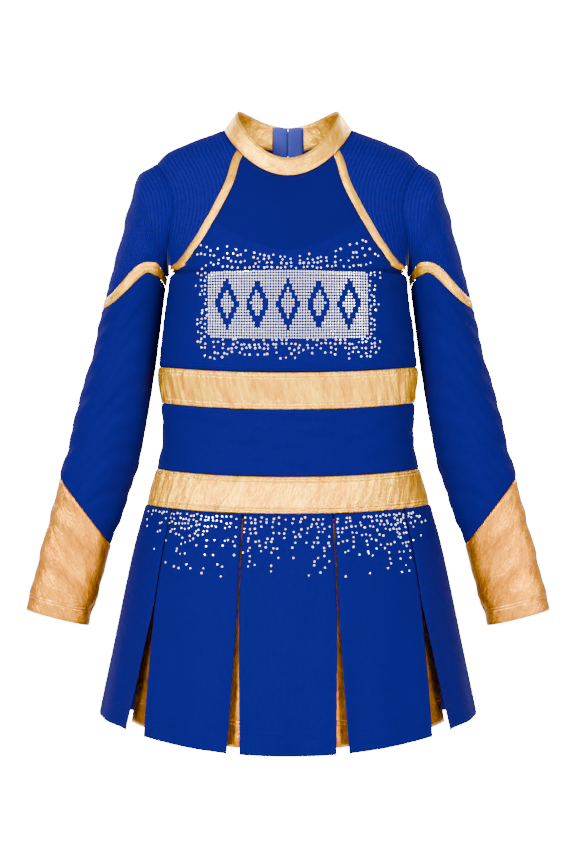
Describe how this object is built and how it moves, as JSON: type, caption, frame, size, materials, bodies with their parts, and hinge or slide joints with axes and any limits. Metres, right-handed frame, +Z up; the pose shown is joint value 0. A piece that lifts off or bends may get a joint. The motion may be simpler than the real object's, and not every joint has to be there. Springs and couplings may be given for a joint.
{
  "type": "cheer uniform",
  "caption": "Long-sleeved cheerleading dress with stand collar, sheer shoulders, metallic bands and cuffs, a pleated skirt and a back zip, held in its worn shape.",
  "frame": {"origin": "centre of the neck opening, level with the back neck seam", "axes": "+Z up along the dress, -Y out of its front, +X to the wearer's left"},
  "size_m": [0.524, 0.272, 0.6307],
  "materials": {
    "blue_knit": "matte stretch knit, royal blue",
    "sheer_mesh": "fine power mesh, royal blue, sheer",
    "lining_knit": "matte tricot lining, royal blue",
    "gold_foil_knit": "foil-printed stretch knit, metallic gold",
    "zip_tape": "woven tape, royal blue",
    "zip_teeth": "moulded nylon coil, royal blue",
    "zip_metal": "bright, slightly worn",
    "rhinestone": "faceted clear stones with silver backs"
  },
  "bodies": {
    "garment": {"collar_front": "gold_foil_knit", "bodice_front": "blue_knit", "bodice_lining": "lining_knit", "bust_band_front": "gold_foil_knit", "midriff_front": "blue_knit", "waistband_front": "gold_foil_knit", "zip_bottom_stop": "zip_metal", "chest_rhinestones": "rhinestone", "collar_back_left": "gold_foil_knit", "bodice_back_left": "blue_knit", "raglan_trim_front_left": "gold_foil_knit", "raglan_trim_back_left": "gold_foil_knit", "mesh_shoulder_left": "sheer_mesh", "bust_band_back_left": "gold_foil_knit", "midriff_back_left": "blue_knit", "waistband_back_left": "gold_foil_knit", "zip_tape_left": "zip_tape", "zip_teeth_left": "zip_teeth", "zip_top_stop_left": "zip_metal", "collar_back_right": "gold_foil_knit", "bodice_back_right": "blue_knit", "raglan_trim_front_right": "gold_foil_knit", "raglan_trim_back_right": "gold_foil_knit", "mesh_shoulder_right": "sheer_mesh", "bust_band_back_right": "gold_foil_knit", "midriff_back_right": "blue_knit", "waistband_back_right": "gold_foil_knit", "zip_tape_right": "zip_tape", "zip_teeth_right": "zip_teeth", "zip_top_stop_right": "zip_metal"},
    "slider": {"zip_slider": "zip_metal"},
    "pull": {"zip_pull": "zip_metal"},
    "arm_left": {"sleeve_mesh_left": "sheer_mesh", "sleeve_trim_left": "gold_foil_knit", "sleeve_left": "blue_knit", "cuff_left": "gold_foil_knit"},
    "arm_right": {"sleeve_mesh_right": "sheer_mesh", "sleeve_trim_right": "gold_foil_knit", "sleeve_right": "blue_knit", "cuff_right": "gold_foil_knit"},
    "panel_front": {"skirt_panel_front": "blue_knit", "skirt_rhinestones_front": "rhinestone"},
    "panel_back": {"skirt_panel_back": "blue_knit"},
    "panel_front_left": {"skirt_panel_front_left": "blue_knit", "skirt_rhinestones_left": "rhinestone"},
    "panel_side_left": {"skirt_panel_side_left": "blue_knit"},
    "panel_back_left": {"skirt_panel_back_left": "blue_knit"},
    "pleat_1_left": {"pleat_insert_1_left": "gold_foil_knit"},
    "pleat_2_left": {"pleat_insert_2_left": "gold_foil_knit"},
    "pleat_3_left": {"pleat_insert_3_left": "gold_foil_knit"},
    "pleat_4_left": {"pleat_insert_4_left": "gold_foil_knit"},
    "panel_front_right": {"skirt_panel_front_right": "blue_knit", "skirt_rhinestones_right": "rhinestone"},
    "panel_side_right": {"skirt_panel_side_right": "blue_knit"},
    "panel_back_right": {"skirt_panel_back_right": "blue_knit"},
    "pleat_1_right": {"pleat_insert_1_right": "gold_foil_knit"},
    "pleat_2_right": {"pleat_insert_2_right": "gold_foil_knit"},
    "pleat_3_right": {"pleat_insert_3_right": "gold_foil_knit"},
    "pleat_4_right": {"pleat_insert_4_right": "gold_foil_knit"}
  },
  "joints": [
    {"name": "zip_slide", "type": "slide", "parent": "garment", "child": "slider", "axis": [0, 0.0781, -0.9969], "range_m": [0, 0.352]},
    {"name": "zip_pull_swing", "type": "hinge", "parent": "slider", "child": "pull", "pos_m": [0, 0.05777, 0.02308], "axis": [1, 0, 0], "range_deg": [0, 150]},
    {"name": "arm_left_raise", "type": "hinge", "parent": "garment", "child": "arm_left", "pos_m": [0.1311, 0, -0.012], "axis": [0, -1, 0], "range_deg": [0, 60]},
    {"name": "arm_right_raise", "type": "hinge", "parent": "garment", "child": "arm_right", "pos_m": [-0.1311, 0, -0.012], "axis": [0, 1, 0], "range_deg": [0, 60]},
    {"name": "skirt_flare", "type": "hinge", "parent": "garment", "child": "panel_front", "pos_m": [0, -0.088, -0.3615], "axis": [-1, 0, 0], "range_deg": [0, 8]},
    {"name": "flare_panel_front_left", "type": "hinge", "parent": "garment", "child": "panel_front_left", "pos_m": [0.08311, -0.07551, -0.35942], "axis": [-0.9338, -0.3578, 0], "range_deg": [0, 8]},
    {"name": "flare_panel_side_left", "type": "hinge", "parent": "garment", "child": "panel_side_left", "pos_m": [0.141, 0, -0.3545], "axis": [0, -1, 0], "range_deg": [0, 8]},
    {"name": "flare_panel_back_left", "type": "hinge", "parent": "garment", "child": "panel_back_left", "pos_m": [0.08311, 0.07208, -0.3545], "axis": [0.9391, -0.3435, 0], "range_deg": [0, 8]},
    {"name": "flare_panel_back", "type": "hinge", "parent": "garment", "child": "panel_back", "pos_m": [0, 0.084, -0.3545], "axis": [1, 0, 0], "range_deg": [0, 8]},
    {"name": "flare_panel_back_right", "type": "hinge", "parent": "garment", "child": "panel_back_right", "pos_m": [-0.08311, 0.07208, -0.3545], "axis": [0.9391, 0.3435, 0], "range_deg": [0, 8]},
    {"name": "flare_panel_side_right", "type": "hinge", "parent": "garment", "child": "panel_side_right", "pos_m": [-0.141, 0, -0.3545], "axis": [0, 1, 0], "range_deg": [0, 8]},
    {"name": "flare_panel_front_right", "type": "hinge", "parent": "garment", "child": "panel_front_right", "pos_m": [-0.08311, -0.07551, -0.35942], "axis": [-0.9338, 0.3578, 0], "range_deg": [0, 8]},
    {"name": "flare_pleat_1_left", "type": "hinge", "parent": "garment", "child": "pleat_1_left", "pos_m": [0.0435, -0.08539, -0.36103], "axis": [-0.9902, -0.1395, 0], "range_deg": [0, 6]},
    {"name": "flare_pleat_2_left", "type": "hinge", "parent": "garment", "child": "pleat_2_left", "pos_m": [0.11323, -0.05882, -0.35727], "axis": [-0.7839, -0.6209, 0], "range_deg": [0, 6]},
    {"name": "flare_pleat_3_left", "type": "hinge", "parent": "garment", "child": "pleat_3_left", "pos_m": [0.11323, 0.05614, -0.3545], "axis": [0.7976, -0.6031, 0], "range_deg": [0, 6]},
    {"name": "flare_pleat_4_left", "type": "hinge", "parent": "garment", "child": "pleat_4_left", "pos_m": [0.0435, 0.0815, -0.3545], "axis": [0.9911, -0.1333, 0], "range_deg": [0, 6]},
    {"name": "flare_pleat_1_right", "type": "hinge", "parent": "garment", "child": "pleat_1_right", "pos_m": [-0.0435, -0.08539, -0.36103], "axis": [-0.9902, 0.1395, 0], "range_deg": [0, 6]},
    {"name": "flare_pleat_2_right", "type": "hinge", "parent": "garment", "child": "pleat_2_right", "pos_m": [-0.11323, -0.05882, -0.35727], "axis": [-0.7839, 0.6209, 0], "range_deg": [0, 6]},
    {"name": "flare_pleat_3_right", "type": "hinge", "parent": "garment", "child": "pleat_3_right", "pos_m": [-0.11323, 0.05614, -0.3545], "axis": [0.7976, 0.6031, 0], "range_deg": [0, 6]},
    {"name": "flare_pleat_4_right", "type": "hinge", "parent": "garment", "child": "pleat_4_right", "pos_m": [-0.0435, 0.0815, -0.3545], "axis": [0.9911, 0.1333, 0], "range_deg": [0, 6]}
  ],
  "couplings": [
    {"joint": "flare_panel_front_left", "follows": "skirt_flare", "ratio": 1},
    {"joint": "flare_panel_side_left", "follows": "skirt_flare", "ratio": 1},
    {"joint": "flare_panel_back_left", "follows": "skirt_flare", "ratio": 1},
    {"joint": "flare_panel_back", "follows": "skirt_flare", "ratio": 1},
    {"joint": "flare_panel_back_right", "follows": "skirt_flare", "ratio": 1},
    {"joint": "flare_panel_side_right", "follows": "skirt_flare", "ratio": 1},
    {"joint": "flare_panel_front_right", "follows": "skirt_flare", "ratio": 1},
    {"joint": "flare_pleat_1_left", "follows": "skirt_flare", "ratio": 0.75},
    {"joint": "flare_pleat_2_left", "follows": "skirt_flare", "ratio": 0.75},
    {"joint": "flare_pleat_3_left", "follows": "skirt_flare", "ratio": 0.75},
    {"joint": "flare_pleat_4_left", "follows": "skirt_flare", "ratio": 0.75},
    {"joint": "flare_pleat_1_right", "follows": "skirt_flare", "ratio": 0.75},
    {"joint": "flare_pleat_2_right", "follows": "skirt_flare", "ratio": 0.75},
    {"joint": "flare_pleat_3_right", "follows": "skirt_flare", "ratio": 0.75},
    {"joint": "flare_pleat_4_right", "follows": "skirt_flare", "ratio": 0.75}
  ]
}
